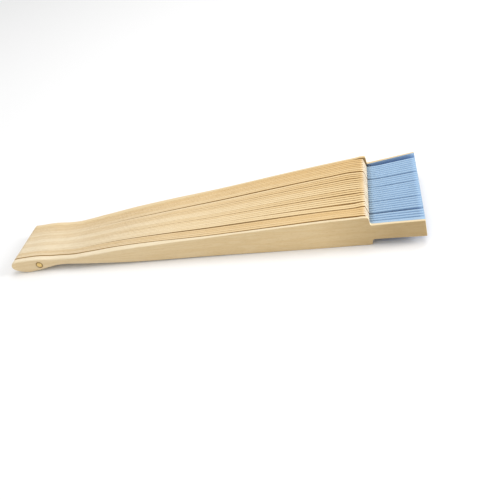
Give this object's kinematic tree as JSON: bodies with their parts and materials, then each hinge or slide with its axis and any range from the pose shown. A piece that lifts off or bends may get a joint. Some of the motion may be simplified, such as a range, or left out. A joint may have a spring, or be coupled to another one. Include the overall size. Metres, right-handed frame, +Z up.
{
  "type": "folding hand fan",
  "caption": "Closed wooden folding fan: plain flat sticks on a brass rivet, broad guards outside, a blue pleated fabric leaf at the tip. It opens upwards into a sector.",
  "frame": {"origin": "centre of the closed fan's bounding box on the surface it lies on, on its long edge", "axes": "+X from the rivet end to the leaf, +Y from the front guard to the back guard, +Z up across the sticks' width"},
  "size_m": [0.2298, 0.0658, 0.0164],
  "materials": {
    "guard_wood": "satin",
    "rib_wood": "satin",
    "leaf_fabric": "matte",
    "brass": "polished"
  },
  "bodies": {
    "guard_front": {"guard_front": "guard_wood", "rivet": "brass", "washer_front": "brass", "washer_back": "brass"},
    "rib_01": {"rib_01": "rib_wood", "leaf_panel_01": "leaf_fabric"},
    "rib_02": {"rib_02": "rib_wood", "leaf_panel_02": "leaf_fabric"},
    "rib_03": {"rib_03": "rib_wood", "leaf_panel_03": "leaf_fabric"},
    "rib_04": {"rib_04": "rib_wood", "leaf_panel_04": "leaf_fabric"},
    "rib_05": {"rib_05": "rib_wood", "leaf_panel_05": "leaf_fabric"},
    "rib_06": {"rib_06": "rib_wood", "leaf_panel_06": "leaf_fabric"},
    "rib_07": {"rib_07": "rib_wood", "leaf_panel_07": "leaf_fabric"},
    "rib_08": {"rib_08": "rib_wood", "leaf_panel_08": "leaf_fabric"},
    "rib_09": {"rib_09": "rib_wood", "leaf_panel_09": "leaf_fabric"},
    "rib_10": {"rib_10": "rib_wood", "leaf_panel_10": "leaf_fabric"},
    "rib_11": {"rib_11": "rib_wood", "leaf_panel_11": "leaf_fabric"},
    "rib_12": {"rib_12": "rib_wood", "leaf_panel_12": "leaf_fabric"},
    "rib_13": {"rib_13": "rib_wood", "leaf_panel_13": "leaf_fabric"},
    "rib_14": {"rib_14": "rib_wood", "leaf_panel_14": "leaf_fabric"},
    "rib_15": {"rib_15": "rib_wood", "leaf_panel_15": "leaf_fabric"},
    "rib_16": {"rib_16": "rib_wood", "leaf_panel_16": "leaf_fabric"},
    "rib_17": {"rib_17": "rib_wood", "leaf_panel_17": "leaf_fabric"},
    "rib_18": {"rib_18": "rib_wood", "leaf_panel_18": "leaf_fabric"},
    "rib_19": {"rib_19": "rib_wood", "leaf_panel_19": "leaf_fabric"},
    "rib_20": {"rib_20": "rib_wood", "leaf_panel_20": "leaf_fabric"},
    "rib_21": {"rib_21": "rib_wood", "leaf_panel_21": "leaf_fabric"},
    "rib_22": {"rib_22": "rib_wood", "leaf_panel_22": "leaf_fabric"},
    "rib_23": {"rib_23": "rib_wood", "leaf_panel_23": "leaf_fabric"},
    "rib_24": {"rib_24": "rib_wood", "leaf_panel_24": "leaf_fabric"},
    "rib_25": {"rib_25": "rib_wood", "leaf_panel_25": "leaf_fabric"},
    "rib_26": {"rib_26": "rib_wood", "leaf_panel_26": "leaf_fabric"},
    "rib_27": {"rib_27": "rib_wood", "leaf_panel_27": "leaf_fabric"},
    "guard_back": {"guard_back": "guard_wood", "leaf_panel_28": "leaf_fabric"}
  },
  "joints": [
    {"name": "fold_01", "type": "hinge", "parent": "guard_front", "child": "rib_01", "pos_m": [-0.09791, 0, 0.00454], "axis": [0, -1, 0], "range_deg": [0, 5.2]},
    {"name": "fold_02", "type": "hinge", "parent": "rib_01", "child": "rib_02", "pos_m": [-0.09791, 0, 0.00454], "axis": [0, -1, 0], "range_deg": [0, 5.2]},
    {"name": "fold_03", "type": "hinge", "parent": "rib_02", "child": "rib_03", "pos_m": [-0.09791, 0, 0.00454], "axis": [0, -1, 0], "range_deg": [0, 5.2]},
    {"name": "fold_04", "type": "hinge", "parent": "rib_03", "child": "rib_04", "pos_m": [-0.09791, 0, 0.00454], "axis": [0, -1, 0], "range_deg": [0, 5.2]},
    {"name": "fold_05", "type": "hinge", "parent": "rib_04", "child": "rib_05", "pos_m": [-0.09791, 0, 0.00454], "axis": [0, -1, 0], "range_deg": [0, 5.2]},
    {"name": "fold_06", "type": "hinge", "parent": "rib_05", "child": "rib_06", "pos_m": [-0.09791, 0, 0.00454], "axis": [0, -1, 0], "range_deg": [0, 5.2]},
    {"name": "fold_07", "type": "hinge", "parent": "rib_06", "child": "rib_07", "pos_m": [-0.09791, 0, 0.00454], "axis": [0, -1, 0], "range_deg": [0, 5.2]},
    {"name": "fold_08", "type": "hinge", "parent": "rib_07", "child": "rib_08", "pos_m": [-0.09791, 0, 0.00454], "axis": [0, -1, 0], "range_deg": [0, 5.2]},
    {"name": "fold_09", "type": "hinge", "parent": "rib_08", "child": "rib_09", "pos_m": [-0.09791, 0, 0.00454], "axis": [0, -1, 0], "range_deg": [0, 5.2]},
    {"name": "fold_10", "type": "hinge", "parent": "rib_09", "child": "rib_10", "pos_m": [-0.09791, 0, 0.00454], "axis": [0, -1, 0], "range_deg": [0, 5.2]},
    {"name": "fold_11", "type": "hinge", "parent": "rib_10", "child": "rib_11", "pos_m": [-0.09791, 0, 0.00454], "axis": [0, -1, 0], "range_deg": [0, 5.2]},
    {"name": "fold_12", "type": "hinge", "parent": "rib_11", "child": "rib_12", "pos_m": [-0.09791, 0, 0.00454], "axis": [0, -1, 0], "range_deg": [0, 5.2]},
    {"name": "fold_13", "type": "hinge", "parent": "rib_12", "child": "rib_13", "pos_m": [-0.09791, 0, 0.00454], "axis": [0, -1, 0], "range_deg": [0, 5.2]},
    {"name": "fold_14", "type": "hinge", "parent": "rib_13", "child": "rib_14", "pos_m": [-0.09791, 0, 0.00454], "axis": [0, -1, 0], "range_deg": [0, 5.2]},
    {"name": "fold_15", "type": "hinge", "parent": "rib_14", "child": "rib_15", "pos_m": [-0.09791, 0, 0.00454], "axis": [0, -1, 0], "range_deg": [0, 5.2]},
    {"name": "fold_16", "type": "hinge", "parent": "rib_15", "child": "rib_16", "pos_m": [-0.09791, 0, 0.00454], "axis": [0, -1, 0], "range_deg": [0, 5.2]},
    {"name": "fold_17", "type": "hinge", "parent": "rib_16", "child": "rib_17", "pos_m": [-0.09791, 0, 0.00454], "axis": [0, -1, 0], "range_deg": [0, 5.2]},
    {"name": "fold_18", "type": "hinge", "parent": "rib_17", "child": "rib_18", "pos_m": [-0.09791, 0, 0.00454], "axis": [0, -1, 0], "range_deg": [0, 5.2]},
    {"name": "fold_19", "type": "hinge", "parent": "rib_18", "child": "rib_19", "pos_m": [-0.09791, 0, 0.00454], "axis": [0, -1, 0], "range_deg": [0, 5.2]},
    {"name": "fold_20", "type": "hinge", "parent": "rib_19", "child": "rib_20", "pos_m": [-0.09791, 0, 0.00454], "axis": [0, -1, 0], "range_deg": [0, 5.2]},
    {"name": "fold_21", "type": "hinge", "parent": "rib_20", "child": "rib_21", "pos_m": [-0.09791, 0, 0.00454], "axis": [0, -1, 0], "range_deg": [0, 5.2]},
    {"name": "fold_22", "type": "hinge", "parent": "rib_21", "child": "rib_22", "pos_m": [-0.09791, 0, 0.00454], "axis": [0, -1, 0], "range_deg": [0, 5.2]},
    {"name": "fold_23", "type": "hinge", "parent": "rib_22", "child": "rib_23", "pos_m": [-0.09791, 0, 0.00454], "axis": [0, -1, 0], "range_deg": [0, 5.2]},
    {"name": "fold_24", "type": "hinge", "parent": "rib_23", "child": "rib_24", "pos_m": [-0.09791, 0, 0.00454], "axis": [0, -1, 0], "range_deg": [0, 5.2]},
    {"name": "fold_25", "type": "hinge", "parent": "rib_24", "child": "rib_25", "pos_m": [-0.09791, 0, 0.00454], "axis": [0, -1, 0], "range_deg": [0, 5.2]},
    {"name": "fold_26", "type": "hinge", "parent": "rib_25", "child": "rib_26", "pos_m": [-0.09791, 0, 0.00454], "axis": [0, -1, 0], "range_deg": [0, 5.2]},
    {"name": "fold_27", "type": "hinge", "parent": "rib_26", "child": "rib_27", "pos_m": [-0.09791, 0, 0.00454], "axis": [0, -1, 0], "range_deg": [0, 5.2]},
    {"name": "fold_28", "type": "hinge", "parent": "rib_27", "child": "guard_back", "pos_m": [-0.09791, 0, 0.00454], "axis": [0, -1, 0], "range_deg": [0, 5.2]}
  ],
  "couplings": [
    {"joint": "fold_02", "follows": "fold_01", "ratio": 1},
    {"joint": "fold_03", "follows": "fold_01", "ratio": 1},
    {"joint": "fold_04", "follows": "fold_01", "ratio": 1},
    {"joint": "fold_05", "follows": "fold_01", "ratio": 1},
    {"joint": "fold_06", "follows": "fold_01", "ratio": 1},
    {"joint": "fold_07", "follows": "fold_01", "ratio": 1},
    {"joint": "fold_08", "follows": "fold_01", "ratio": 1},
    {"joint": "fold_09", "follows": "fold_01", "ratio": 1},
    {"joint": "fold_10", "follows": "fold_01", "ratio": 1},
    {"joint": "fold_11", "follows": "fold_01", "ratio": 1},
    {"joint": "fold_12", "follows": "fold_01", "ratio": 1},
    {"joint": "fold_13", "follows": "fold_01", "ratio": 1},
    {"joint": "fold_14", "follows": "fold_01", "ratio": 1},
    {"joint": "fold_15", "follows": "fold_01", "ratio": 1},
    {"joint": "fold_16", "follows": "fold_01", "ratio": 1},
    {"joint": "fold_17", "follows": "fold_01", "ratio": 1},
    {"joint": "fold_18", "follows": "fold_01", "ratio": 1},
    {"joint": "fold_19", "follows": "fold_01", "ratio": 1},
    {"joint": "fold_20", "follows": "fold_01", "ratio": 1},
    {"joint": "fold_21", "follows": "fold_01", "ratio": 1},
    {"joint": "fold_22", "follows": "fold_01", "ratio": 1},
    {"joint": "fold_23", "follows": "fold_01", "ratio": 1},
    {"joint": "fold_24", "follows": "fold_01", "ratio": 1},
    {"joint": "fold_25", "follows": "fold_01", "ratio": 1},
    {"joint": "fold_26", "follows": "fold_01", "ratio": 1},
    {"joint": "fold_27", "follows": "fold_01", "ratio": 1},
    {"joint": "fold_28", "follows": "fold_01", "ratio": 1}
  ]
}
